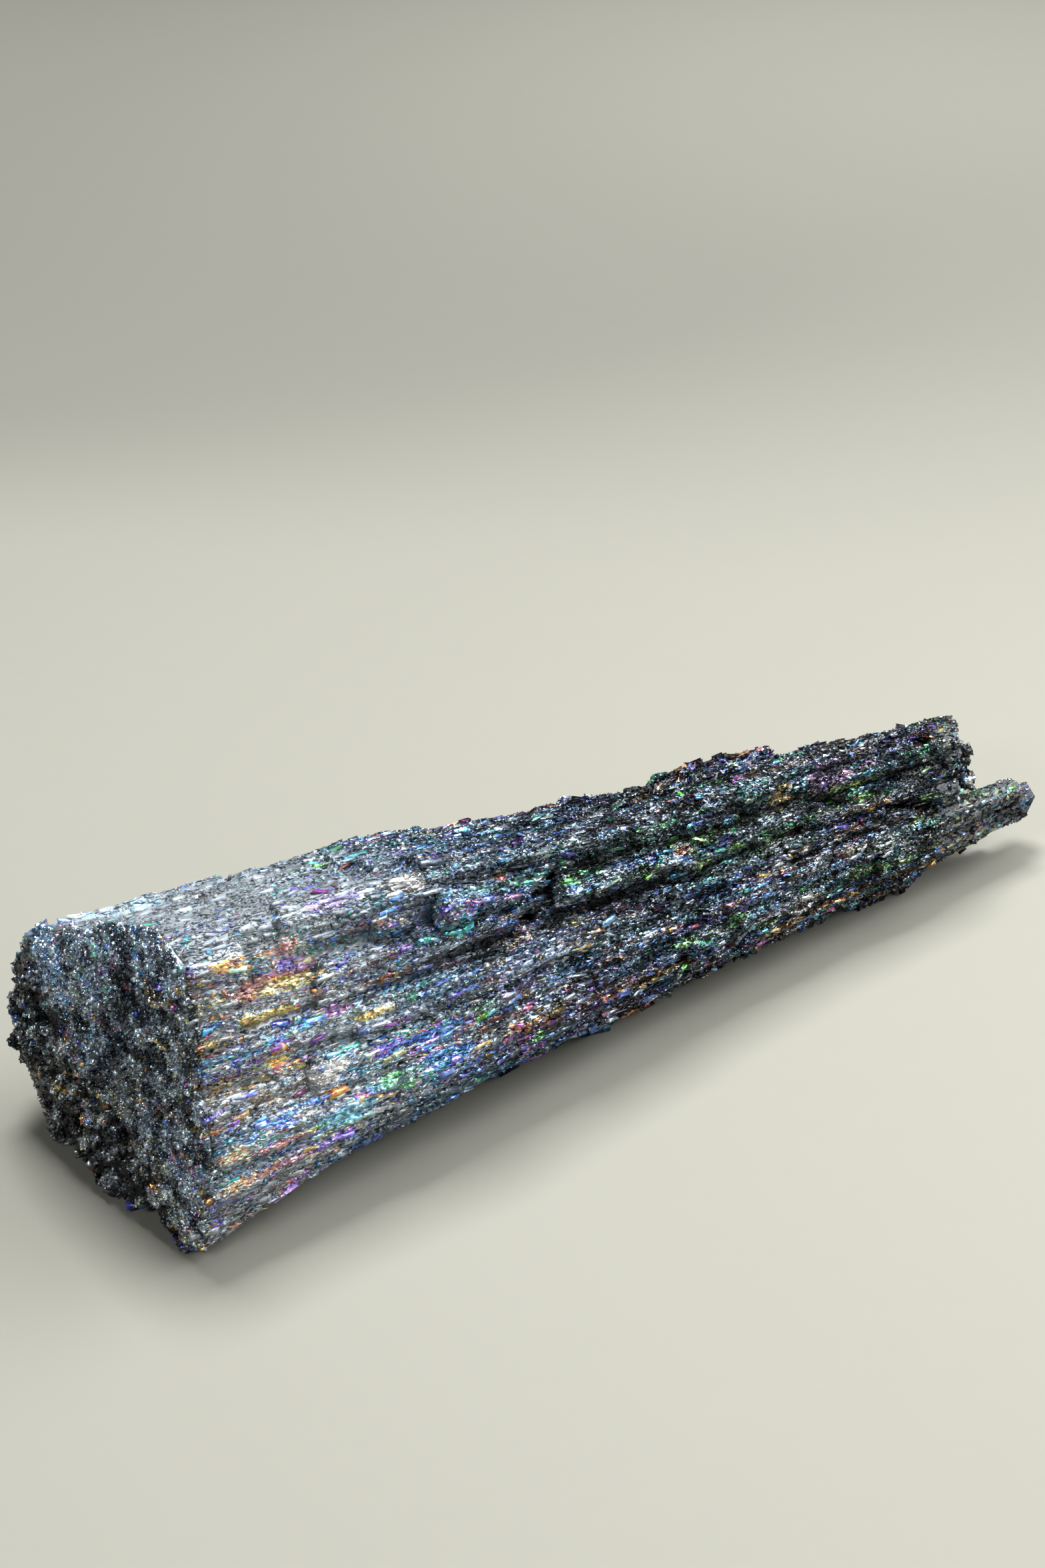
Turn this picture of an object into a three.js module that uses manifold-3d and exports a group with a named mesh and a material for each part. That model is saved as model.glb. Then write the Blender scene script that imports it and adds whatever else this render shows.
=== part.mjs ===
// A silicon carbide crystal: one long wedge of columnar crystals grown together in one piece.
// It lies on its underside. +X runs along it, from the broad end to the narrow, splintered one,
// +Z is up, and the origin is the middle of its box, on the surface that it rests on.
// All sizes are in millimetres. Until the last step, x is 0 at the broad end's face.

import * as THREE from "three";
import { LoftGeometry } from "three/addons/geometries/LoftGeometry.js";
import { mergeVertices } from "three/addons/utils/BufferGeometryUtils.js";
import Module from "manifold-3d";

// ---- Driving dimensions ----

// Every column grows towards one point beyond the narrow end, so the wedge tapers to it.
const APEX = new THREE.Vector3(338, -3.5, 3.5);

// The broad end's outline as [y, z], in order over the back, the top and the front.
const OUTLINE = [
  [16, -1.5], // keel that the piece rests on
  [34, 3], // lower back edge
  [45, 18], // bulge of the back side
  [34.4, 36], // upper back edge
  [15, 46.3], // middle of the sloping top
  [-2.8, 51.8], // upper front edge
  [-8, 19], // bulge of the front side
  [-2.4, 7.2], // lower front edge
  [7.5, -0.8], // front of the keel
];
const CORNER_SOFTNESS = 0.2; // low, so that the sides stay nearly flat between the edges
const HEART = [12, 22]; // middle of that outline

// Swellings and hollows of the sides: where, how far each reaches along and across, how far out.
const LUMPS = [
  { name: "swell of the top", at: [42, 6, 43], long: 24, wide: 18, out: 1.5 },
  { name: "swell of the back edge", at: [50, 28, 35], long: 22, wide: 12, out: 3 },
  { name: "hollow of the back edge", at: [92, 20, 29], long: 20, wide: 12, out: -1.2 },
  { name: "foot at the front corner", at: [0, 0, 4], long: 16, wide: 10, out: 5 },
  { name: "dip before the far lobe", at: [125, 11, 27], long: 12, wide: 14, out: -3.4 },
  { name: "top of the far lobe", at: [152, 14, 24], long: 22, wide: 12, out: -1.6 },
  { name: "swell of the lower edge", at: [36, -3, 2], long: 22, wide: 8, out: 1.2 },
  { name: "hollow of the lower edge", at: [108, -2, 2], long: 16, wide: 7, out: -1.2 },
  { name: "keel's far end", at: [146, 8, 0], long: 26, wide: 6, out: 3.5 },
];

// The core that everything is rooted in. Past its end, only separate splinters go on.
const CORE = { length: 147, around: 24, steps: 6, inset: 1.5 };

// Splinters that clothe the sides, in rows along the columns, each row like a course of bricks.
const ROWS = 22;
const SPLINTER = { shortest: 14, longest: 44, thick: 6, lowest: -1.4, highest: 0.3 };
const SPLINTER_OVERLAP = 1.5;
const SPLINTER_DRIFT = 0.006; // how far one strays from its column, as a share of the outline

// Columns that end at the broad face, nearly flush.
const FACE = { spacing: 9.5, relief: 0.45, root: 6, rim: 0.5 };

// The broad face is broken away along its lower back edge, where columns stand at all depths.
const BREAK = { width: 8.5, depth: 7, relief: 2.2, spacing: 5.4, top: 29, front: 4 };

// Splinters of the narrow end.
const END = { spacing: 5.4, root: 14, rim: 0.5, limit: 190 };

// Blocks that stand out of the sides: the two ends of each one's top, its section and sides.
const BLOCKS = [
  { name: "block by the notch", from: [66, -5.2, 37.2], to: [86, -5, 34.3], width: 6.5, depth: 7, sides: 4 },
  { name: "ledge over the gap", from: [43, -5.4, 43.6], to: [58, -5, 39.8], width: 6, depth: 5, sides: 6 },
  { name: "top block", from: [103, 8, 34.8], to: [118, 7, 33], width: 8, depth: 9, sides: 6 },
  { name: "corner block", from: [0.2, 32.5, 36.8], to: [18, 31, 36.4], width: 5, depth: 5, sides: 4 },
  { name: "corner lump", from: [-0.3, -1.5, 48.5], to: [9, -2, 48.8], width: 9, depth: 9, sides: 6 },
];
const BLOCK_SINK = 0.4; // share of its depth that a block's middle lies under its top

// Gaps between the columns of the front side: each one's two ends there, its width and depth.
const GAPS = [
  { name: "gap under the ledge", from: [47, -6, 39.2], to: [57, -6, 37], width: 3, depth: 9 },
  { name: "gap past the ledge", from: [56, -6, 34.5], to: [63, -6, 32], width: 3.4, depth: 7 },
  { name: "notch before the block", from: [62.5, -5, 38.5], to: [66, -5, 37], width: 4, depth: 8 },
  { name: "upper front gap", from: [35, -4, 41], to: [45, -4, 36], width: 1.5, depth: 5 },
  { name: "seam at the top edge", from: [20, -5, 48], to: [34, -5, 44.5], width: 1.3, depth: 5 },
  { name: "far gap, high", from: [116, -5, 30.5], to: [128, -5, 26], width: 2.4, depth: 7 },
  { name: "far gap, middle", from: [127, -5, 29.5], to: [138, -5, 27.5], width: 2.2, depth: 7 },
  { name: "far gap, deep", from: [134, -6, 22.5], to: [146, -6, 19], width: 3.2, depth: 9 },
];
// Smaller gaps of the top and the back, at chance places between these shares of the outline.
const BACK_GAPS = { count: 6, first: 0.2, last: 0.62, long: 11, width: 2.4, depth: 3.5 };

const SEEDS = { honeycomb: 1, clothing: 7, face: 2, breakage: 3, broken: 4, end: 6, gaps: 8 };

// ---- Chance, the same on every run ----

// Each seed gives its own run of numbers between the two limits of each call.
function dice(seed) {
  let state = seed;
  return (low, high) => {
    state = (state + 0x6d2b79f5) | 0;
    let t = Math.imul(state ^ (state >>> 15), 1 | state);
    t = (t + Math.imul(t ^ (t >>> 7), 61 | t)) ^ t;
    return low + ((high - low) * ((t ^ (t >>> 14)) >>> 0)) / 2 ** 32;
  };
}

// ---- The wedge's form ----

const outline = new THREE.CatmullRomCurve3(
  OUTLINE.map(([y, z]) => new THREE.Vector3(0, y, z)),
  true,
  "catmullrom",
  CORNER_SOFTNESS,
);
const PERIMETER = outline.getLength();
const shrink = (x) => (APEX.x - x) / APEX.x;

// The point at x of the column that meets the broad end's plane at (y, z).
function alongColumn(y, z, x) {
  return new THREE.Vector3(0, y, z).lerp(APEX, x / APEX.x);
}

// The way out of the wedge at the share v of the outline.
function outwards(v) {
  const tangent = outline.getTangentAt(((v % 1) + 1) % 1);
  return new THREE.Vector3(0, tangent.z, -tangent.y);
}

// The surface at the share v of the outline and at x, lumps included, moved out by `stand`.
function surface(v, x, stand = 0) {
  const rim = outline.getPointAt(((v % 1) + 1) % 1);
  const point = alongColumn(rim.y, rim.z, x);
  let out = stand;
  for (const lump of LUMPS) {
    const [lx, ly, lz] = lump.at;
    const along = (point.x - lx) / lump.long;
    const across = Math.hypot(point.y - ly, point.z - lz) / lump.wide;
    out += lump.out * Math.exp(-along * along - across * across);
  }
  return point.addScaledVector(outwards(v), out);
}

// How far [y, z] lies inside the broad end's outline (below 0 outside it), and the nearest point
// of the outline.
const RIM_STEPS = 180;
const RIM = Array.from({ length: RIM_STEPS }, (_, i) => ({
  point: outline.getPointAt(i / RIM_STEPS),
  out: outwards(i / RIM_STEPS),
}));

function depthInside(y, z) {
  const here = new THREE.Vector3(0, y, z);
  const away = ({ point }) => point.distanceTo(here);
  const nearest = RIM.reduce((best, rim) => (away(rim) < away(best) ? rim : best));
  const inside = nearest.out.dot(nearest.point.clone().sub(here)) > 0;
  return { depth: inside ? away(nearest) : -away(nearest), edge: nearest.point };
}

// Points [y, z] of a honeycomb that `keep` accepts, each a little out of its place.
const ROW_HEIGHT = Math.sqrt(3) / 2;
function honeycomb(spacing, keep) {
  const between = dice(SEEDS.honeycomb);
  const spots = [];
  const box = new THREE.Box3().setFromPoints(RIM.map((rim) => rim.point));
  for (let row = 0; box.min.z + row * spacing * ROW_HEIGHT < box.max.z; row++) {
    for (let k = 0; box.min.y + k * spacing < box.max.y; k++) {
      const y = box.min.y + (k + (row % 2) / 2 + between(-0.15, 0.15)) * spacing;
      const z = box.min.z + (row + between(-0.15, 0.15)) * spacing * ROW_HEIGHT;
      if (keep(y, z)) spots.push([y, z]);
    }
  }
  return spots;
}

// ---- Solids ----

const wasm = await Module();
wasm.setup();
const joined = (pieces) => wasm.Manifold.union(pieces);

function solid(geometry) {
  const bare = new THREE.BufferGeometry();
  bare.setAttribute("position", geometry.attributes.position);
  bare.setIndex(geometry.index);
  const merged = mergeVertices(bare, 1e-4);
  const vertProperties = Float32Array.from(merged.attributes.position.array);
  const triVerts = Uint32Array.from(merged.index.array);
  return new wasm.Manifold(new wasm.Mesh({ numProp: 3, vertProperties, triVerts }));
}

// A straight crystal between two points, a prism with flat sides: `out` is the way its broad side
// faces, roll turns its section, taper narrows the far end and slant leans both ends.
function splinter(from, to, { width, depth, out, roll = 0, slant = 0, sides = 6, taper = 1 }) {
  const along = to.clone().sub(from);
  const length = along.length();
  along.normalize();
  const across = out.clone().cross(along).normalize();
  const top = along.clone().cross(across).addScaledVector(along, slant);
  const geometry = new THREE.CylinderGeometry(taper, 1, length, sides)
    .rotateZ(-Math.PI / 2)
    .rotateX(roll)
    .scale(1, width / 2, depth / 2);
  const place = new THREE.Matrix4().makeBasis(along, across, top);
  return solid(geometry.applyMatrix4(place.setPosition(from.clone().lerp(to, 0.5))));
}
const flatOut = (sides) => Math.PI / sides; // the roll that turns a flat of the prism outwards

// The wedge from one x to another: the outline, moved out by `stand`, carried along the columns.
function wedge(first, last, stand, steps) {
  const shares = Array.from({ length: CORE.around }, (_, j) => j / CORE.around);
  const sections = [];
  for (let i = 0; i <= steps; i++) {
    const x = THREE.MathUtils.lerp(first, last, i / steps);
    sections.push(shares.map((v) => surface(v, x, stand)));
  }
  return solid(new LoftGeometry(sections, { capStart: true, capEnd: true }));
}

function clothing() {
  const between = dice(SEEDS.clothing);
  const pieces = [];
  for (let row = 0; row < ROWS; row++) {
    let x = between(-0.5, 0.5);
    let length = between(0.3, 1) * SPLINTER.longest;
    while (x < CORE.length - 4) {
      const atFace = x < 1;
      const end = Math.min(x + length, CORE.length + between(-2, 5));
      const v = (row + 0.5 + between(-0.2, 0.2)) / ROWS;
      const size = shrink((x + end) / 2);
      const depth = SPLINTER.thick * size;
      const stand = between(SPLINTER.lowest, SPLINTER.highest) - depth * 0.42;
      const drifted = v + between(-SPLINTER_DRIFT, SPLINTER_DRIFT);
      const to = surface(drifted, end, stand + between(-0.4, 0.4));
      const width = ((PERIMETER * size) / ROWS) * between(0.95, 1.45);
      const roll = flatOut(6) + between(-0.4, 0.4);
      const ends = { slant: atFace ? 0 : between(-0.8, 0.8), taper: between(0.75, 1) };
      pieces.push(splinter(surface(v, x, stand), to, { width, depth, out: outwards(v), roll, ...ends }));
      x = end - SPLINTER_OVERLAP;
      length = between(SPLINTER.shortest, SPLINTER.longest);
    }
  }
  return joined(pieces);
}

const UP = new THREE.Vector3(0, 0, 1);

function isBroken(depth, edge) {
  return depth < BREAK.width && edge.z < BREAK.top && edge.y > BREAK.front;
}

function broadFace() {
  const between = dice(SEEDS.face);
  const whole = (y, z) => {
    const { depth, edge } = depthInside(y, z);
    return depth > FACE.rim && !isBroken(depth, edge);
  };
  const columns = honeycomb(FACE.spacing, whole).map(([y, z]) => {
    const from = alongColumn(y, z, between(-FACE.relief, FACE.relief));
    const size = { width: FACE.spacing * 1.25, depth: FACE.spacing * 1.1, out: UP };
    const ends = { roll: between(0, 1), slant: between(-0.08, 0.08) };
    return splinter(from, alongColumn(y, z, FACE.root), { ...size, ...ends });
  });
  return joined(columns).intersect(wedge(-FACE.root, 2 * FACE.root, 0, 1));
}

// What is broken away from the broad face's lower back edge.
function breakAway() {
  const between = dice(SEEDS.breakage);
  const cuts = [];
  for (const { point, out } of RIM.filter((_, i) => i % 3 === 0)) {
    if (!isBroken(0, point)) continue;
    const from = point.clone().addScaledVector(out, 2).setX(-2);
    const to = from.clone().setX(BREAK.depth * between(0.8, 1.1));
    const depth = 2 * BREAK.width * between(0.8, 1.1);
    cuts.push(splinter(from, to, { width: 7, depth, out, sides: 4 }));
  }
  return joined(cuts);
}

// The columns that stand there, lower the further in they are.
function brokenColumns() {
  const between = dice(SEEDS.broken);
  const broken = (y, z) => {
    const { depth, edge } = depthInside(y, z);
    return depth > 0.8 && isBroken(depth, edge);
  };
  const columns = honeycomb(BREAK.spacing, broken).map(([y, z]) => {
    const inwards = depthInside(y, z).depth / BREAK.width;
    const back = (BREAK.depth * inwards) / 2 + between(-0.4, 1.4) * BREAK.relief;
    const from = alongColumn(y, z, Math.max(0.3, back));
    const size = { width: BREAK.spacing * between(0.9, 1.25), depth: BREAK.spacing, out: UP };
    const ends = { roll: between(0, 1), slant: between(-0.5, 0.5) };
    return splinter(from, alongColumn(y, z, BREAK.depth + FACE.root), { ...size, ...ends });
  });
  return joined(columns).intersect(wedge(-FACE.root, BREAK.depth + 2 * FACE.root, 0.5, 1));
}

// How far the splinter goes that leaves the core's end at (y, z): the top is one lobe with an
// upright end, and the lower front is a long prong.
function reachOf({ y, z }, between) {
  const height = z + 0.87 * y; // above the lower front edge
  if (height < 5.5) return between(156, 162);
  if (height < 8) return between(162, 168);
  if (height < 13.5 && y < 7) return between(166, 171);
  if (height < 17 && y < 9) return between(160, 166);
  if (height < 19) return between(157, 163);
  return between(150, 154.5) + y;
}

function narrowEnd() {
  const between = dice(SEEDS.end);
  const within = (y, z) => depthInside(y, z).depth > END.rim;
  const splinters = honeycomb(END.spacing / shrink(CORE.length), within).map(([y, z]) => {
    const from = alongColumn(y, z, CORE.length - END.root);
    const to = alongColumn(y, z, reachOf(alongColumn(y, z, CORE.length), between));
    const size = { width: END.spacing * between(1, 1.5), depth: END.spacing * between(1, 1.4), out: UP };
    const ends = { roll: between(0, 1), slant: between(-0.9, 0.9), taper: between(0.5, 0.85) };
    return splinter(from, to, { ...size, ...ends });
  });
  return joined(splinters).intersect(wedge(CORE.length - 2 * END.root, END.limit, 0, 2));
}

function blocks() {
  const pieces = BLOCKS.map(({ from, to, width, depth, sides }) => {
    const start = new THREE.Vector3(...from);
    const end = new THREE.Vector3(...to);
    const out = start.clone().sub(alongColumn(...HEART, start.x)).setX(0).normalize();
    start.addScaledVector(out, -depth * BLOCK_SINK);
    end.addScaledVector(out, -depth * BLOCK_SINK);
    return splinter(start, end, { width, depth, sides, out, roll: flatOut(sides) });
  });
  return joined(pieces);
}

function gaps() {
  const between = dice(SEEDS.gaps);
  const front = new THREE.Vector3(0, -1, 0);
  const cuts = GAPS.map(({ from, to, width, depth }) => {
    const shape = { width, depth: 2 * depth, out: front, roll: flatOut(6) };
    return splinter(new THREE.Vector3(...from), new THREE.Vector3(...to), shape);
  });
  for (let i = 0; i < BACK_GAPS.count; i++) {
    const v = between(BACK_GAPS.first, BACK_GAPS.last);
    const x = between(15, CORE.length - 20);
    const shape = { width: BACK_GAPS.width, depth: 2 * BACK_GAPS.depth, out: outwards(v), taper: 0.6 };
    cuts.push(splinter(surface(v, x), surface(v, x + BACK_GAPS.long), shape));
  }
  return joined(cuts);
}

// The keel is worn flat where it meets the surface that it rests on.
function ground() {
  return solid(new THREE.BoxGeometry(400, 200, 40).translate(90, 0, -20));
}

function crystal() {
  const grown = joined([wedge(0, CORE.length, -CORE.inset, CORE.steps), clothing(), broadFace()])
    .subtract(breakAway())
    .add(joined([brokenColumns(), narrowEnd(), blocks()]))
    .subtract(gaps())
    .subtract(ground());
  // The largest shell is the crystal's outside. Any others are specks closed in between splinters.
  const shells = grown.decompose().sort((a, b) => b.volume() - a.volume());
  const { vertProperties, triVerts } = shells[0].getMesh();
  const geometry = new THREE.BufferGeometry();
  geometry.setAttribute("position", new THREE.BufferAttribute(vertProperties, 3));
  geometry.setIndex(new THREE.BufferAttribute(triVerts, 1));
  geometry.computeBoundingBox();
  const middle = geometry.boundingBox.getCenter(new THREE.Vector3());
  geometry.translate(-middle.x, -middle.y, -geometry.boundingBox.min.z);
  const carbide = new THREE.MeshStandardMaterial({ color: 0x4a4f58, roughness: 0.35, metalness: 0.6 });
  const mesh = new THREE.Mesh(geometry, carbide);
  mesh.name = "crystal";
  return mesh;
}

const group = new THREE.Group();
group.add(crystal());
export default group;
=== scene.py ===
"""The looks of a silicon carbide crystal: the crust of small crystals on its solid, and its studio.

The solid is one long wedge of columns that all grow towards one point beyond its narrow end. A rough
sleeve of ridges and grooves covers its sides, tens of thousands of slivers lie on that along the
columns, with plates and chips among them, and equant grains cover the broad end. Each crystal wears
a thin film, and the film's thickness gives its colour.

Lengths are in millimetres until a mesh is made. x is counted from the broad end's face along the
piece, y from the front to the back, z upwards.
"""

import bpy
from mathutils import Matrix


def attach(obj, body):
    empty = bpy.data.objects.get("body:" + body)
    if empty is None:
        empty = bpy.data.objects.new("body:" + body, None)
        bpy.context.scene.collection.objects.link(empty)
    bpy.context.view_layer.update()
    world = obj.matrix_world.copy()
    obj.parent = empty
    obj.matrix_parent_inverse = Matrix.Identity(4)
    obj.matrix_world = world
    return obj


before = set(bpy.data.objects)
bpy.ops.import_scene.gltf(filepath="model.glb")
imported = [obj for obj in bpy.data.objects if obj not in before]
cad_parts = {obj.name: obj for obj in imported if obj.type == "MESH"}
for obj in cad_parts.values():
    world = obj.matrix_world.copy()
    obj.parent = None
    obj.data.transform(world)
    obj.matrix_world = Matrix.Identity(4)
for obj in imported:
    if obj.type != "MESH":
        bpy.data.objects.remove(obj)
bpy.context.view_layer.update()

import math
from dataclasses import dataclass

import bpy
import numpy as np
from bpy.props import FloatProperty, FloatVectorProperty, PointerProperty
from mathutils import Vector

bl_info = {
    "name": "Silicon carbide crystal",
    "version": (1, 0, 0),
    "blender": (4, 5, 0),
    "location": "View3D > Sidebar > Crystal",
    "description": "Covers the packed solid of the crystal with its crust and sets its studio",
    "category": "Mesh",
}

MM = 0.001
NODE = "crystal"
SEED = 5

# ---- The wedge's form, as the solid has it ----

FACE_PLACE = np.array([-86.2, -17.96, 0.0])  # where x, y, z of 0 lie in the frame
APEX = np.array([338.0, -3.5, 3.5])  # the point that every column grows towards
HEART = np.array([12.0, 22.0])  # middle of the broad end, as y and z
RIM_DEPTH = 9.0  # how far the broken rim of the broad end reaches in


# ---- Chance and smooth fields, all on whole arrays ----


def dice(places, salt):
    """Chance from 0 to 1 for each row of whole numbers: the row's numbers are folded one after the
    other into one 64-bit word by multiplying with large odd numbers and shifting it onto itself."""
    word = np.full(len(places), np.uint64(salt * 2654435761 + 97))
    for column in np.asarray(places).astype(np.int64).astype(np.uint64).T:
        word = (word ^ column) * np.uint64(0x9E3779B97F4A7C15)
        word ^= word >> np.uint64(29)
        word *= np.uint64(0xBF58476D1CE4E5B9)
        word ^= word >> np.uint64(32)
    return (word >> np.uint64(40)).astype(float) / 2**24


def drift(places, salt):
    """Smooth chance from 0 to 1: each whole-number corner has a chance value, and a place between
    them blends its corners' values with the weights 3t^2 - 2t^3 along every axis."""
    low = np.floor(places)
    t = places - low
    t = t * t * (3 - 2 * t)
    total = np.zeros(len(places))
    for corner in np.ndindex(*(2,) * places.shape[1]):
        weight = np.where(np.array(corner) == 1, t, 1 - t).prod(axis=1)
        total += weight * dice(low + corner, salt)
    return total


def sway(x, column, along, across, salt):
    """Smooth chance from 0 to 1 over a distance along x and a distance across the columns."""
    return drift(np.column_stack([x / along, column / across]), salt)


def cells(places, salt):
    """Irregular cells in a plane, one seed to each unit square, moved by chance inside it. Gives each
    place's cell, as its seed's square, and how much further the second nearest seed is."""
    base = np.floor(places)
    nearest = np.full(len(places), np.inf)
    second = np.full(len(places), np.inf)
    home = base.copy()
    for step in np.ndindex(3, 3):
        square = base + step - 1
        seed = square + np.stack([dice(square, salt), dice(square, salt + 1)], 1)
        away = np.linalg.norm(places - seed, axis=1)
        closer = away < nearest
        second = np.minimum(second, np.where(closer, nearest, away))
        home = np.where(closer[:, None], square, home)
        nearest = np.where(closer, away, nearest)
    return home, second - nearest


def smooth_step(low, high, value):
    """0 below low, 1 above high and 3t^2 - 2t^3 between."""
    t = np.clip((value - low) / (high - low), 0, 1)
    return t * t * (3 - 2 * t)


def unit(vectors):
    return vectors / np.maximum(np.linalg.norm(vectors, axis=1, keepdims=True), 1e-9)


# ---- Places on a surface ----


@dataclass
class Spots:
    """Places on a surface, with what the crust needs to know about each."""

    at: np.ndarray  # place
    out: np.ndarray  # the surface's normal
    grown: np.ndarray  # the way its column grows
    column: np.ndarray  # y and z where its column meets the broad end's plane
    turn: np.ndarray  # direction from the heart in that plane, in degrees
    # Low values of open paint shade on a crystal or skin face, as in a hollow, and thin out crystals
    # there
    open: np.ndarray  # 1 in the open, down to 0 in the depth of a hollow

    def pick(self, chosen):
        return Spots(*(getattr(self, name)[chosen] for name in self.__dataclass_fields__))

    def __len__(self):
        return len(self.at)


def spots_at(at, out, openness):
    """Spots at the places: a column runs from the apex through its place to the broad end's plane."""
    column = APEX[1:] + (at[:, 1:] - APEX[1:]) * (APEX[0] / (APEX[0] - at[:, :1]))
    turn = np.degrees(np.arctan2(column[:, 1] - HEART[1], column[:, 0] - HEART[0]))
    return Spots(at, out, unit(APEX - at), column, turn, openness)


def on_column(x, column):
    """The places at x on the columns: y and z shrink towards the apex's in proportion to x."""
    share = (APEX[0] - x) / APEX[0]
    return np.concatenate([x[..., None], APEX[1:] + (column - APEX[1:]) * share[..., None]], -1)


def mesh_triangles(mesh):
    """The corners of a mesh's triangles, as an array of triangles by corners by x, y and z."""
    mesh.calc_loop_triangles()
    places = np.empty(len(mesh.vertices) * 3, np.float32)
    mesh.vertices.foreach_get("co", places)
    corners = np.empty(len(mesh.loop_triangles) * 3, np.int32)
    mesh.loop_triangles.foreach_get("vertices", corners)
    return places.reshape(-1, 3).astype(float)[corners.reshape(-1, 3)] / MM - FACE_PLACE


def scatter(triangles, openness, chance, count):
    """Spots spread evenly by area: triangles are drawn with their area as the chance, and a spot is
    at a + (1 - sqrt(u)) (b - a) + sqrt(u) v (c - a) in one, for u and v from 0 to 1."""
    a, b, c = triangles[:, 0], triangles[:, 1], triangles[:, 2]
    cross = np.cross(b - a, c - a)
    area = np.linalg.norm(cross, axis=1)
    drawn = chance.choice(len(area), count, p=area / area.sum())
    root = np.sqrt(chance.random((count, 1)))
    share = chance.random((count, 1))
    at = a[drawn] + (1 - root) * (b - a)[drawn] + root * share * (c - a)[drawn]
    return spots_at(at, unit(cross)[drawn], openness[drawn])


def scatter_on_solid(chance):
    """Spots all over the solid."""
    triangles = mesh_triangles(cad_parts[NODE].data)
    return scatter(triangles, np.ones(len(triangles)), chance, SOLID_SPOTS)


def scatter_on_skin(name, chance, count):
    """Spots on a skin that is in the scene already, without the triangles that close it inside."""
    mesh = bpy.data.meshes[name]
    openness = np.empty(len(mesh.polygons), np.float32)
    mesh.attributes["open"].data.foreach_get("value", openness)
    seen = openness >= 0
    return scatter(mesh_triangles(mesh)[seen], openness[seen], chance, count)


def scatter_behind_rim(chance):
    """Spots on the back side of the broad face's skin, where it shows beside the rough rim, on the
    triangles that close it too."""
    triangles = mesh_triangles(bpy.data.meshes["crust_broad_face"])
    # An openness of 0.7 gives these crystals a little painted shade
    spots = scatter(triangles, np.full(len(triangles), 0.7), chance, FACE_SPOTS)
    to_back = np.abs((spots.turn + 180) % 360 - 180) < 42
    return spots.pick(to_back & (spots.at[:, 1] > 28.5) & (spots.at[:, 0] > 0.4))


# ---- Where the crust is high, bright and coloured ----

CRUST_HEIGHT = 0.42  # mean height of the crust over the solid
GROOVE_DEPTH = 0.7
LEAST_HEIGHT = 0.06

# Where the crust swells: the middle of each swell, its reach along and across, and its height. A ramp
# is a swell with only the half towards the broad end, up to the foot of a step of the solid.
SWELLS = (
    ("top of the far lobe", (142, 2, 32), 13, 5, 1.0, False),
    ("ramp up to the step on top", (100.8, 9, 34), 5.0, 4.0, 3.0, True),
    ("ramp up to the block on the front's edge", (63, -3, 42), 3.0, 3.0, 1.2, True),
)
# Heaps of grains at the narrow end: the middle of each, how far it spreads and how many it has.
HEAPS = (
    ("under the far lobe's end", (152.6, -2.5, 22.5), 1.3, 110),
    ("on the prong", (155.8, -2.5, 19.2), 1.1, 90),
    ("on the far lobe's end", (154.0, -2.0, 24.5), 1.6, 160),
)


@dataclass
class Stain:
    """A patch of film of one thickness, in nanometres: its middle, its reach along and across."""

    name: str
    at: tuple
    long: float
    wide: float
    film: float
    vivid: float = 1.0


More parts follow.
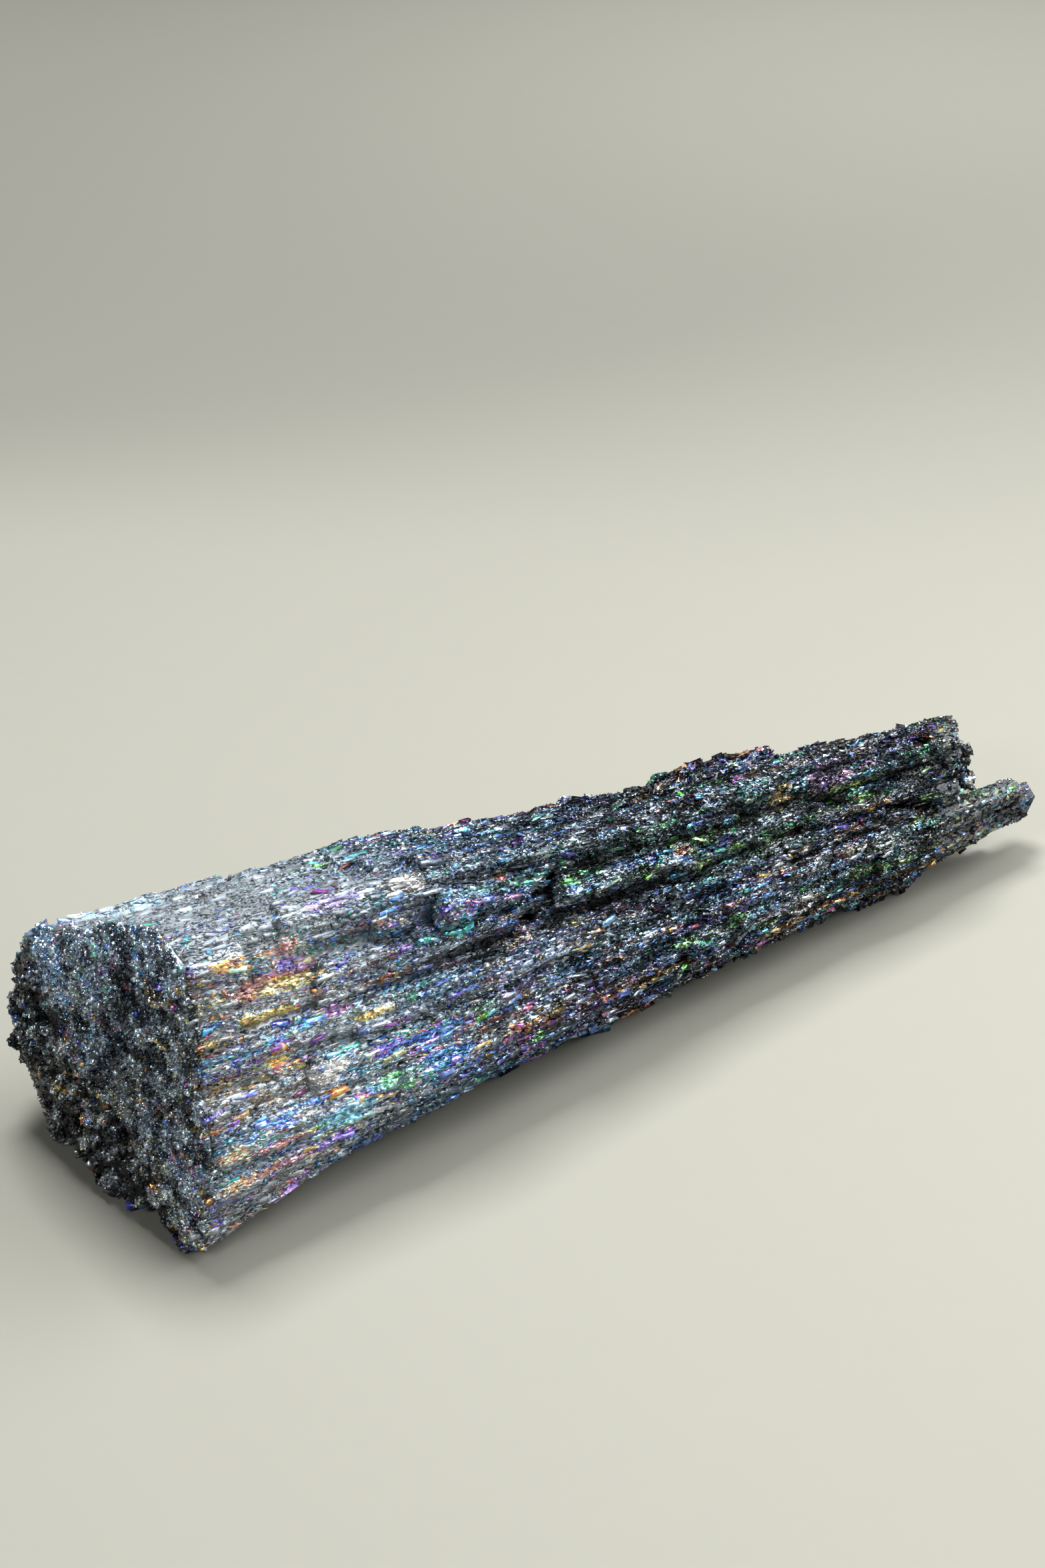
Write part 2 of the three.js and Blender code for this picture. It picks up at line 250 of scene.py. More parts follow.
STAINS = (
    Stain("gold under the top edge", (8, -4, 46.0), 3.2, 0.6, 222, 0.85),
    Stain("orange beyond it", (15, -3, 44.9), 3.4, 0.6, 236, 0.7),
    Stain("violet and blue below it", (17, -4, 41.9), 4.0, 1.3, 290, 0.8),
    Stain("red brown of the near front", (10, -4, 41.3), 4.5, 1.1, 252, 0.7),
    Stain("gold of the near front", (17, -4, 39.2), 5.0, 0.8, 214, 0.75),
    Stain("long gold streak", (12, -4, 36.2), 4.2, 0.8, 212, 0.85),
    Stain("teal spot", (18, -5, 32.9), 1.6, 0.9, 325, 0.9),
    Stain("blue spot", (13, -6, 32.8), 1.8, 0.8, 314, 0.9),
    Stain("gold spot", (13, -5, 29.2), 2.1, 0.8, 216),
    Stain("gold of the middle front", (29, -7, 30.6), 2.4, 0.8, 218, 0.9),
    Stain("violet of the middle front", (24, -5, 33.0), 2.7, 1.0, 278, 0.8),
    Stain("white streaks", (20, -7, 25.0), 3.7, 1.3, 15, 0.9),
    Stain("purple by the blue band", (31, -7, 24.1), 3.2, 1.1, 292, 0.9),
    Stain("upper blue lane", (40, -7, 22.7), 6.7, 1.6, 319),
    Stain("lower blue lane", (41, -8, 18.4), 5.9, 1.6, 318),
    Stain("pale pink by the green", (33, -7, 19.6), 2.1, 0.9, 262, 0.4),
    Stain("green yellow streak", (31, -8, 18.4), 5.0, 1.7, 362, 0.7),
    Stain("turquoise streak", (23, -7, 16.4), 5.6, 2.1, 156),
    Stain("purple under it", (22, -4, 9.8), 2.9, 0.9, 292, 0.9),
    Stain("gold of the near foot", (4, -8, 19.2), 4.5, 0.8, 228, 0.7),
    Stain("pink of the near foot", (11, -7, 17.0), 5.0, 0.9, 258, 0.8),
    Stain("blue of the near foot", (12, -7, 21.0), 3.4, 0.9, 316, 0.9),
    Stain("gold low at the foot", (5, -7.5, 13.7), 3.6, 0.7, 230, 0.6),
    Stain("rose low at the foot", (13, -7, 13.4), 3.6, 0.8, 262, 0.7),
    Stain("purple low at the foot", (22, -6.4, 12.9), 4.0, 1.3, 292, 0.9),
    Stain("magenta under the foot", (17, -3, 6.2), 2.6, 1.2, 282, 0.8),
    Stain("orange of the near foot", (21, -6, 21.8), 2.4, 0.9, 236, 0.9),
    Stain("brown of the near foot", (11, -6, 25.2), 3.7, 1.1, 60, 0.8),
    Stain("pink and gold", (56, -6, 22.3), 3.6, 1.0, 245, 0.7),
    Stain("red of the middle", (58, -5, 29.5), 2.2, 0.9, 258, 0.8),
    Stain("yellow green of the middle foot", (60, -7, 14.2), 3.6, 1.1, 378, 0.9),
    Stain("cyan green block", (46, -6, 37.6), 2.2, 1.0, 330),
    Stain("blue flakes of the middle", (55, -6, 35.1), 2.2, 0.8, 316, 0.9),
    Stain("violet streaks by the top edge", (25, -2, 48.0), 6.0, 1.0, 292, 0.5),
    Stain("blue of the middle", (60, -6, 26.5), 8.3, 3.0, 316, 0.6),
    Stain("teal of the middle", (78, -5, 22.8), 8.5, 2.6, 330, 0.5),
    Stain("orange flake", (55, -4, 41.3), 1.2, 0.6, 236),
    Stain("cyan flake", (66, -3, 40.0), 1.4, 0.6, 155),
    Stain("silver patch", (39, -3, 46.0), 3.5, 1.1, 12, 0.9),
    Stain("cyan plate", (101, -3, 31.9), 1.7, 0.7, 155),
    Stain("deep blue plate", (99, -5, 30.9), 1.6, 0.7, 308),
    Stain("red brown plate", (90, -5, 32.2), 2.0, 0.8, 250, 0.9),
    Stain("violet plate", (97, -4, 9.8), 2.2, 1.0, 284),
    Stain("pink plate", (101, -5, 11.8), 2.2, 1.0, 268),
    Stain("yellow green plate", (91, -5, 11.3), 1.9, 0.8, 380),
    Stain("olive plate", (101, -5, 16.1), 2.2, 0.9, 375, 0.7),
    Stain("olive plate below", (91, -5, 16.5), 2.1, 0.8, 372, 0.7),
    Stain("gold flake of the top edge", (103, 10, 33.5), 2.2, 0.6, 228),
    Stain("olive gold plates", (112, -3, 32.2), 2.3, 1.5, 215, 0.8),
    Stain("pale plate", (117, -5, 13.2), 2.9, 1.2, 10, 0.9),
    Stain("cyan of the far edge", (149, -3, 29.8), 1.2, 0.8, 156),
    Stain("green of the far edge", (143, -4, 29.8), 1.4, 0.8, 345),
    Stain("yellow green by the prong", (157, -1, 15.1), 1.8, 1.2, 378),
    Stain("cyan by the prong", (156, -6, 15.0), 1.7, 0.9, 158),
    Stain("yellow of the lobe", (138, -3, 6.4), 1.8, 0.8, 385),
    Stain("pale blue of the near top", (13, 27, 37.7), 9.6, 2.3, 155, 0.45),
    Stain("blue by the corner", (0, 29, 34), 5.0, 5.5, 136, 0.8),
    Stain("purple of the top", (48, 17, 40.3), 8.4, 1.7, 292, 0.5),
    Stain("blue of the top", (61, 11, 39.1), 8.5, 1.7, 314, 0.6),
    Stain("violet flakes of the far top", (123, -3, 32.1), 4.4, 1.5, 282, 0.7),
)


# The film of a hue from 0 to 1: gold, orange, red and violet where it is low, blue for most of its
# range, and cyan, green and yellow where it is high.
HUE_AT = (0.0, 0.2, 0.27, 0.33, 0.37, 0.66, 0.78, 0.9, 1.0)
HUE_FILM = (210, 234, 262, 286, 311, 326, 332, 346, 388)
# The faint blue film of the plain crystals, and how strong it is on the sides, along x.
PLAIN_FILM = 139
CAST_AT = (0, 22, 45, 95, 125, 175)
CAST = (0.04, 0.05, 0.3, 0.26, 0.04, 0.0)


def stained(spots):
    """How strongly the stains pull each spot, up to 1, and the film and the vividness they pull it
    to. A stain pulls by exp(-(along / long)^2 - (across / wide)^2), in streaks, and the later one
    goes over the earlier one. Across is round the heart on the sides, and straight on the broad end."""
    streak = 0.5 + 1.0 * smooth_step(0.3, 0.6, drift(lanes_of(spots) * 2.6, 16))
    at_face = faces_broad_end(spots)
    total, film, vivid = np.zeros((3, len(spots)))
    shrink = (APEX[0] - spots.at[:, 0]) / APEX[0]
    for stain in STAINS:
        middle = spots_at(np.array([stain.at], float), np.zeros((1, 3)), np.ones(1))
        along = (spots.at[:, 0] - stain.at[0]) / stain.long
        apart = np.radians((spots.turn - middle.turn + 180) % 360 - 180)
        across = apart * np.linalg.norm(middle.column - HEART) * shrink
        on_face = np.linalg.norm(spots.column - middle.column, axis=1)
        across = np.where(at_face, on_face, across) / stain.wide
        pull = np.clip(2.2 * streak * np.exp(-(along**2) - across**2), 0, 1)
        film += pull * (stain.film - film)
        vivid += pull * (stain.vivid - vivid)
        total += pull * (1 - total)
    return total, film, vivid


def powder_at(spots):
    """How powdery the crust is: fully on top near the broad end, half down the front, and fading
    along x."""
    turn = spots.turn % 360
    near = smooth_step(62, 22, spots.at[:, 0])
    return near * (0.5 + 0.5 * smooth_step(140, 105, turn)) * (~faces_broad_end(spots))


def lanes_of(spots):
    """Places for drifts that run in narrow lanes along the columns."""
    return np.column_stack([spots.at[:, 0] / 16, spots.column / 1.9])


def coats(spots, chance, share):
    """Each spot's film in nanometres, how vivid it is, and a painted sheen that makes it brighter,
    strongest in the middle of a stain and a little on any dyed one. Chance makes a spot dyed, by the
    share, in patches, and mostly in the middle of a stain. A dyed one has the film of the hue that
    drifts there, or the stain's; a plain one has a faint blue film."""
    x = spots.at[:, 0]
    lanes = lanes_of(spots)
    broad = np.column_stack([x / 34, spots.column / 9])
    front = smooth_step(110, 140, spots.turn % 360)
    hue = (0.85 + 0.5 * smooth_step(60, 110, x)) * (drift(lanes, 11) - 0.5)
    hue += 0.52 + 0.08 * smooth_step(90, 120, x) + 0.6 * (drift(broad, 13) - 0.5)
    hue -= 0.2 * front * smooth_step(45, 10, x)
    at_face = faces_broad_end(spots)
    hue += chance.normal(0, 0.08, len(spots)) - 0.15 * at_face
    film = np.interp(hue, HUE_AT, HUE_FILM)
    patchy = drift(lanes * 1.7 + 9, 14) + 0.7 * drift(broad * 2.1, 15)
    likely = share * (0.4 + 1.3 * smooth_step(0.62, 1.15, patchy)) * (1 - 0.85 * powder_at(spots))
    pull, stain_film, stain_vivid = stained(spots)
    held = chance.random(len(spots)) < pull * (0.4 + 0.6 * stain_vivid)
    dyed = held | (chance.random(len(spots)) < likely)
    film = np.where(held, stain_film, film) + chance.normal(0, 7, len(spots))
    cast = np.interp(x, CAST_AT, CAST) + 0.08 * powder_at(spots)
    cast = np.where(at_face, 0.34 - 0.2 * rim_share(spots.column), cast)
    plain = np.clip(cast + chance.normal(0, 0.06, len(spots)), 0, 1)
    film = np.where(dyed, film, PLAIN_FILM + chance.normal(0, 9, len(spots)))
    strong = chance.uniform(0.7, 1.0, len(spots)) * np.where(held, stain_vivid, 1)
    # The third value is painted sheen: stained and dyed crystals made brighter
    return film, np.where(dyed, strong, plain), 1 + 0.7 * pull * stain_vivid + 0.25 * dyed


# How bright the crust of the sides is along x.
BRIGHT_AT = (0, 28, 60, 100, 125, 175)
BRIGHT = (0.58, 0.58, 0.54, 0.44, 0.37, 0.29)
# Painted light and shade by the turn: the back, the top, the front and the underside. The front is
# painted lighter than the top, the back and the underside.
SIDE_AT = (0, 60, 115, 145, 195, 240, 360)
SIDE_PAINTED_LIGHT = (0.66, 0.6, 0.6, 1.12, 1.1, 0.95, 0.8)
# The broad end's lower back edge is a rough rim: y and z of the line where it meets the flat face.
RIM_LINE = ((0, 3.6, 11.1, 22, 28, 32.2, 40), (3, 9.2, 14.2, 19.9, 26, 32.9, 46))
CORNER_BLOCK = (30, 34)  # y and z of the block at its upper back corner
TOP_EDGE, TOP_SLOPE = 50.5, 0.38  # z of its top edge at the front, and how it falls with y


def rim_share(column):
    """0 on the flat of the broad end and 1 on its rough rim."""
    return smooth_step(-1.2, 1.2, np.interp(column[:, 0], *RIM_LINE) - column[:, 1])


def faces_broad_end(spots):
    """Whether each spot is on the broad end rather than on the sides."""
    return (spots.at[:, 0] < RIM_DEPTH) & (spots.out[:, 0] < -0.35)


def broad_end_painted_light(column):
    """Painted light and shade of the broad end: painted dark, with painted light towards its front
    edge, on the block at its upper back corner and in a band below its top edge."""
    top = smooth_step(4.5, 1, TOP_EDGE - TOP_SLOPE * column[:, 0] - column[:, 1])
    front = smooth_step(3, -7, column[:, 0])
    corner = 1 - smooth_step(4, 9, np.linalg.norm(column - CORNER_BLOCK, axis=1))
    return 0.82 + 0.35 * front + 1.6 * corner + 0.9 * top


def brightness(spots, chance, painted_sheen):
    """How bright each spot's crystal is, from 0 to 1, with light and shade painted in: by where it is
    along x, times painted light and shade by the side it is on, times drifts in patches, times
    painted shade that grows the deeper its place lies in a hollow, times chance, times its painted
    sheen. On the sides it is darker within 2 mm of the broad end. The chance spreads more towards
    the narrow end, from nearly even to half of the crystals dull and a fifth of them bright as
    painted glints, and patches of painted shade come there. On the broad end, painted dark with
    painted light at its edges, most are dark, a few are painted glints, and they come in clumps."""
    x = spots.at[:, 0]
    turn = spots.turn % 360
    # Brightness along x, times painted light and shade by the side it is on
    light = np.interp(x, BRIGHT_AT, BRIGHT) * np.interp(turn, SIDE_AT, SIDE_PAINTED_LIGHT)
    light *= 0.6 + 0.4 * smooth_step(0, 2, x)
    at_face = faces_broad_end(spots)
    light = np.where(at_face, broad_end_painted_light(spots.column), light)
    patch = 0.75 + 0.5 * sway(x, spots.column, 9, 3.2, 17)
    spread = smooth_step(10, 85, x)
    drawn = chance.random(len(spots))
    # Chance brightness: dull ones, and the brightest fifth as painted glints
    side_kind = np.where(drawn < 0.3 + 0.12 * spread, 0.75 - 0.65 * spread, 0.9)
    side_kind = np.where(drawn > 0.82, 1.05 + 1.4 * spread, side_kind)
    # A few crystals of the broad end are painted glints, 3.5 times as bright
    face_kind = np.choose(chance.choice(3, len(spots), p=[0.62, 0.3, 0.08]), [0.3, 1.0, 3.5])
    # Painted shade in random patches over the far half
    shade = smooth_step(0.48, 0.68, sway(x, spots.column, 3.5, 1.6, 47))
    patch *= 1 - 0.75 * spread * shade
    clump = 0.3 + 1.5 * smooth_step(0.3, 0.75, drift(spots.column / 1.9, 18))
    light = light * np.where(at_face, face_kind * clump, side_kind * patch)
    light = light * chance.uniform(0.8, 1.2, len(spots)) * painted_sheen
    # Painted shade: the deeper a place lies in a hollow, the darker it is painted, less so under powder
    openness = 1 - (1 - spots.open) * (1 - 0.7 * powder_at(spots))
    return np.clip(light * (0.04 + 0.96 * openness), 0, 1)


def relief(x, column):
    """How high the crust of the sides stands over the solid. Coarse and fine cells of the columns'
    plane stand at chance heights that change along x, a slow drift and the swells lift and lower
    them, and their borders are grooves, on and off along x. A swell is its height times
    exp(-(along / reach)^2 - (across / reach)^2). Rubble and pits come in the far half."""
    height = CRUST_HEIGHT + 0.7 * (sway(x, column, 21, 8, 19) - 0.5)
    at = on_column(x, column)
    for _, middle, long, wide, out, is_ramp in SWELLS:
        along = (x - middle[0]) / long
        if is_ramp:
            along = np.where(along < 0, along, 9)
        across = np.linalg.norm(at[:, 1:] - middle[1:], axis=1) / wide
        height += out * np.exp(-(along**2) - across**2)
    far = smooth_step(20, 90, x)
    groove = np.zeros(len(x))
    reach = x + 1.2 * np.maximum(x - 70, 0)
    for size, run, rise, gap, salt in ((3.4, 13.0, 0.55, 0.36, 21), (1.3, 6.0, 0.45, 0.24, 31)):
        home, border = cells(column / size, salt)
        start = dice(home, salt + 2) * run
        stretch = np.column_stack([home, np.floor((reach + start) / run)])
        height += rise * (0.6 + 0.6 * far) * (dice(stretch, salt + 3) - 0.5)
        open_here = smooth_step(0.25, 0.6, sway(x, column, 7, 3, salt + 4))
        groove = np.maximum(groove, (1 - smooth_step(0.4 * gap, gap, border)) * open_here)
    rubble = sway(x, column, 2.6, 3.0, 43) - 0.5 + 0.6 * (sway(x, column, 1.3, 1.6, 44) - 0.5)
    height += 1.7 * smooth_step(60, 115, x) * rubble
    pit = smooth_step(0.7, 0.82, sway(x, column, 3.2, 1.9, 41)) * far
    groove = np.maximum(groove * (0.7 + 0.5 * far), pit * 1.3)
    return np.maximum(height - GROOVE_DEPTH * groove, 0.07)


# ---- The sleeve: one rough skin round the sides ----

SLEEVE_FROM, SLEEVE_TO = 0.15, 147.0
SLEEVE_TURNS, SLEEVE_STATIONS = 396, 240
TUCK = 4.0  # how far in from its ends a skin closes, inside the solid
CLOSED = -9  # how open its corners there are, which takes every triangle that has one below 0


def neighbours(grid, around, along, combine):
    """Combines each cell with those up to so many steps round and along from it. The grid closes on
    itself round, and its end cells repeat along."""
    wide = np.pad(grid, ((0, 0), (along, along)), mode="edge")
    width = grid.shape[1]
    grid = combine([wide[:, k : k + width] for k in range(2 * along + 1)], axis=0)
    return combine([np.roll(grid, k, axis=0) for k in range(-around, around + 1)], axis=0)


def outermost(value, turn, station, shape):
    """The greatest value in each cell of a grid of turns by stations, as the greatest of the four
    cells round each corner. A cell that no spot fell in takes its neighbours'."""
    lowest = -1e3
    grid = np.full(shape, lowest)
    np.maximum.at(grid, (turn, station), value)
    for _ in range(4):
        grid = np.where(grid > lowest, grid, neighbours(grid, 1, 1, np.max))
    wide = np.pad(grid, ((0, 0), (1, 1)), mode="edge")
    ends = np.maximum(wide[:, :-1], wide[:, 1:])
    return np.maximum(ends, np.roll(ends, 1, axis=0))


def turn_cells(spots, around):
    return (spots.turn % 360 / 360 * around).astype(int) % around


def how_open(height):
    """1 where a grid's height is over the mean of its neighbourhood, down to 0 well under it."""
    mean = neighbours(neighbours(height, 4, 3, np.mean), 4, 3, np.mean)
    return smooth_step(-0.8, 0.2, height - mean)


def strip(chance, around, rows):
    """The triangles of a grid that closes on itself round, each square cut by either diagonal. Its
    corners go on along first."""
    here = np.arange(around)
    after = (here + 1) % around
    a = (here[:, None] * rows + np.arange(rows - 1)).ravel()
    b = (after[:, None] * rows + np.arange(rows - 1)).ravel()
    flip = (chance.random(a.size) < 0.5)[:, None]
    halves = [
        np.where(flip, np.column_stack([a, b, a + 1]), np.column_stack([a, b, b + 1])),
        np.where(flip, np.column_stack([b, b + 1, a + 1]), np.column_stack([a, b + 1, a + 1])),
    ]
    return np.stack(halves, 1).reshape(-1, 3)


def closing_fan(ring, pole, outwards):
    """Triangles from a ring of corners to a pole."""
    after = np.roll(ring, -1)
    fan = np.column_stack([ring, after, np.full(len(ring), pole)])
    return fan if outwards else fan[:, ::-1]


def closed_skin(chance, grid, openness, poles, poles_open):
    """A skin's corners, its triangles and how open each is, from a grid of corners that closes on
    itself round, and the two poles that close its first and its last row."""
    around, rows = grid.shape[:2]
    triangles = strip(chance, around, rows)
    first = np.arange(around) * rows
    fans = [
        closing_fan(first, around * rows, False),
        closing_fan(first + rows - 1, around * rows + 1, True),
    ]
    ends_open = [np.full(around, float(value)) for value in poles_open]
    openness = np.concatenate([openness.ravel()[triangles].mean(1), *ends_open])
    corners = np.concatenate([grid.reshape(-1, 3), poles])
    return corners, np.concatenate([triangles, *fans]), openness


def moved_turns(chance, around, most, shape):
    """Turns evenly round, in radians, each moved by up to the given share of a step."""
    return (np.arange(around)[:, None] + chance.uniform(-most, most, shape)) * (2 * math.pi / around)


def sleeve(chance):
    """The sides' skin: its corners, its triangles, and how open each is, below 0 for those that close
    its ends inside the solid. The corner of turn a at station x is heart + (radius + height)
    (cos a, sin a), carried along its column to x, with a, x and the height moved by chance."""
    spots = scatter_on_solid(chance)
    stations = np.linspace(SLEEVE_FROM, SLEEVE_TO, SLEEVE_STATIONS + 1)
    step = stations[1] - stations[0]
    station = np.floor((spots.at[:, 0] - SLEEVE_FROM) / step).astype(int)
    inside = (station >= 0) & (station < SLEEVE_STATIONS)
    turn = turn_cells(spots, SLEEVE_TURNS)[inside]
    radius = np.linalg.norm(spots.column - HEART, axis=1)[inside]
    radius = outermost(radius, turn, station[inside], (SLEEVE_TURNS, SLEEVE_STATIONS))
    shape = radius.shape
    turn = moved_turns(chance, SLEEVE_TURNS, 0.38, shape)
    x = stations + chance.uniform(-0.38, 0.38, shape) * step
    way = np.stack([np.cos(turn), np.sin(turn)], -1)
    height = relief(x.ravel(), (HEART + radius[..., None] * way).reshape(-1, 2)).reshape(shape)
    height = np.maximum(height + chance.normal(0, 0.07, shape), LEAST_HEIGHT)
    shrink = (APEX[0] - x) / APEX[0]
    openness = how_open(radius * shrink + height)
    skin = on_column(x, HEART + (radius + height / shrink)[..., None] * way)
    tucked = [
        on_column(x[:, row] + inwards, HEART + 0.8 * radius[:, row, None] * way[:, row])
        for row, inwards in ((0, TUCK), (-1, -TUCK))
    ]
    grid = np.concatenate([tucked[0][:, None], skin, tucked[1][:, None]], axis=1)
    poles = on_column(np.array([SLEEVE_FROM + TUCK, SLEEVE_TO - TUCK]), np.stack([HEART, HEART]))
    openness = np.pad(openness, ((0, 0), (1, 1)), constant_values=CLOSED)
    return closed_skin(chance, grid, openness, poles, (-1, -1))


# ---- The face: one rough skin over the broad end ----

FACE_TURNS, FACE_RINGS = 240, 46


def face_relief(column, chance):
    """How high the crust stands over the broad face, and how open it is: low waves and fine cracks on
    the flat, and on the rough rim short ridges, one to each irregular cell, with deep borders."""
    rim = rim_share(column)
    ridges = np.column_stack([column @ (0.68, 0.73) / 2.6, column @ (-0.73, 0.68) / 6.5])
    home, border = cells(ridges, 51)
    dome = smooth_step(0.14, 0.42, border)
    waves = 0.6 + 0.9 * (drift(column / 3.6, 54) - 0.5) + 0.8 * (drift(column / 1.3, 55) - 0.5)
    _, crack = cells(column / 5.0, 57)
    waves -= 0.5 * (1 - smooth_step(0.03, 0.16, crack)) * smooth_step(0.4, 0.6, drift(column / 6, 58))
    lumps = dome * (0.4 + 1.1 * dice(home, 53)) + 0.5 * (drift(column / 1.5, 56) - 0.5)
    noise = chance.normal(0, 0.07, len(column))
    height = np.maximum(waves * (1 - rim) + lumps * rim + noise, LEAST_HEIGHT)
    # The borders of the rim's ridges come out least open, which paints shade in the gaps between them
    return height, 1 - rim * (1 - dome) ** 0.7


def broad_face(chance):
    """The broad end's skin, given as the sleeve's is. The corner of turn a at share s is heart +
    s (edge + 0.5) (cos a, sin a), for the solid's edge in that direction, at the solid's x less the
    height, which falls off towards the edge."""
    spots = scatter_on_solid(chance)
    spots = spots.pick(spots.at[:, 0] < RIM_DEPTH)
    turn = turn_cells(spots, FACE_TURNS)
    radius = np.linalg.norm(spots.column - HEART, axis=1)
    edge = np.zeros(FACE_TURNS)
    np.maximum.at(edge, turn, radius)
    faces = spots.out[:, 0] < -0.3
    ring = (radius / edge[turn] * FACE_RINGS * 0.9999).astype(int)
    nearest = -outermost(-spots.at[faces, 0], turn[faces], ring[faces], (FACE_TURNS, FACE_RINGS))
    shape = nearest.shape
    angle = moved_turns(chance, FACE_TURNS, 0.35, shape)
    share = (np.arange(FACE_RINGS + 1) + chance.uniform(-0.35, 0.35, shape)) / FACE_RINGS
    share = np.maximum(share, 0.01)
    way = np.stack([np.cos(angle), np.sin(angle)], -1)
    column = HEART + (share * (edge[:, None] + 0.5))[..., None] * way
    height, openness = (part.reshape(shape) for part in face_relief(column.reshape(-1, 2), chance))
    x = nearest - height * (1 - 0.75 * smooth_step(0.86, 1.0, share))
    flat = 1 - rim_share(column.reshape(-1, 2)).reshape(shape)
    # Little painted shade at the flat face's outer edge, and the crystals stay dense there
    at_edge = 0.8 * smooth_step(0.76, 0.9, share) * flat
    openness = np.maximum(openness * how_open(height - nearest), at_edge)
    skin = np.concatenate([x[..., None], column], -1)
    tucked = np.concatenate([nearest[:, -1:] + TUCK, HEART + 0.85 * edge[:, None] * way[:, -1]], -1)
    grid = np.concatenate([skin, tucked[:, None]], axis=1)
    poles = np.array([[nearest[:, 0].min() - 0.3, *HEART], [TUCK, *HEART]])
    openness = np.pad(openness, ((0, 0), (0, 1)), constant_values=CLOSED)
    return closed_skin(chance, grid, openness, poles, (1, -1))


# ---- Small crystals, joined in one mesh ----

# Each kind's corners, as shares of its half length, half width and height, and its triangles.
FOUR_FACES = np.array([[0, 2, 1], [0, 1, 3], [0, 3, 2], [1, 2, 3]])
SLIVER = np.array([[-1, 0, 1], [1, 0, 1], [0, -1, -1], [0, 1, -1]], float), FOUR_FACES
CHIP = np.array([[1, 1, 1], [-1, -1, 1], [-1, 1, -1], [1, -1, -1]], float), FOUR_FACES
GRAIN = (
    np.array([[1, 0, 0], [0, 1, 0], [-1, 0, 0], [0, -1, 0], [0, 0, 1], [0, 0, -1]], float),
    np.array(
        [[0, 1, 4], [1, 2, 4], [2, 3, 4], [3, 0, 4], [1, 0, 5], [2, 1, 5], [3, 2, 5], [0, 3, 5]]
    ),
)
PLATE = (
    np.array([[-1, -1, 0], [1, -1, 0], [1, 1, 0], [-1, 1, 0], [-0.8, 0, 1], [0.7, 0, 1]], float),
    np.array(
        [[0, 1, 5], [0, 5, 4], [1, 2, 5], [2, 3, 4], [2, 4, 5], [3, 0, 4], [0, 2, 1], [0, 3, 2]]
    ),
)


@dataclass
class Crystals:
    """Many small crystals of one kind: corners by crystal, its triangles, and each one's film,
    vividness, tone with painted light and shade, and powder."""

    corners: np.ndarray
    faces: np.ndarray
    film: np.ndarray
    vivid: np.ndarray
    glint: np.ndarray
    powder: np.ndarray


def lie_along(spots, chance, yaw, pitch, roll):
    """Three axes for each spot: along its column in the surface, across, and out, turned by chance
    about out by yaw, about across by pitch and about along by roll, each the degrees of one sigma,
    and up to two and a half times that in the far half."""
    out = spots.out
    along = spots.grown - (spots.grown * out).sum(1, keepdims=True) * out
    steep = np.linalg.norm(along, axis=1) < 0.4
    along[steep] = np.cross(out[steep], chance.normal(size=(steep.sum(), 3)))
    along = unit(along)
    across = np.cross(out, along)
    loose = 1 + 1.5 * smooth_step(50, 120, spots.at[:, :1])
    for sigma, first, second in ((yaw, 0, 1), (pitch, 0, 2), (roll, 1, 2)):
        axes = [along, across, out]
        angle = np.radians(chance.normal(0, sigma, (len(spots), 1))) * loose
        a, b = axes[first], axes[second]
        axes[first] = np.cos(angle) * a + np.sin(angle) * b
        axes[second] = np.cos(angle) * b - np.sin(angle) * a
        along, across, out = axes
    return along, across, out


def any_way(count, chance):
    """Three axes at right angles for each crystal, turned any way: two of chance, made square."""
    along = unit(chance.normal(size=(count, 3)))
    across = unit(np.cross(along, chance.normal(size=(count, 3))))
    return along, across, np.cross(along, across)


def crystals(spots, chance, shape, faces, axes, size, share):
    """Crystals at the spots: each corner is at the spot + the shape's shares times the crystal's size
    along its three axes. They are smaller in the far half. Shiny ones have less powder on them."""
    size = size * (1 - 0.35 * smooth_step(55, 115, spots.at[:, :1]))
    local = shape * size[:, None, :]
    turned = sum(local[:, :, i, None] * axes[i][:, None, :] for i in range(3))
    film, vivid, painted_sheen = coats(spots, chance, share)
    glint = brightness(spots, chance, painted_sheen)
    shiny = np.where(glint > 0.5, 0.3, 0.1)
    powder = powder_at(spots) - 0.45 * (chance.random(len(spots)) < shiny)
    return Crystals(spots.at[:, None, :] + turned, faces, film, vivid, glint, powder)


def how_level(spots):
    """1 where a spot's surface runs along its column, down to 0 where the surface faces along it."""
    return smooth_step(0.3, 0.85, 1 - np.abs((spots.grown * spots.out).sum(1)))


def slivers(spots, chance, longest, widest):
    """Thin crystals with a ridge along the columns and a foot across, sunk in the surface a little.
    They are shorter where the surface faces along its column."""
    count = len(spots)
    shape = np.repeat(SLIVER[0][None], count, axis=0)
    shape[:, :2, 1] = chance.uniform(-0.6, 0.6, (count, 2))
    shape[:, 2:, 0] = chance.uniform(-0.6, 0.6, (count, 2))
    size = np.column_stack(
        [
            longest * chance.triangular(0.12, 0.25, 0.5, count) * (0.25 + 0.75 * how_level(spots)),
            widest * chance.triangular(0.15, 0.3, 0.5, count),
            chance.uniform(0.07, 0.2, count),
        ]
    )
    axes = lie_along(spots, chance, 6, 5, 20)
    return crystals(spots, chance, shape, SLIVER[1], axes, size, 0.36)


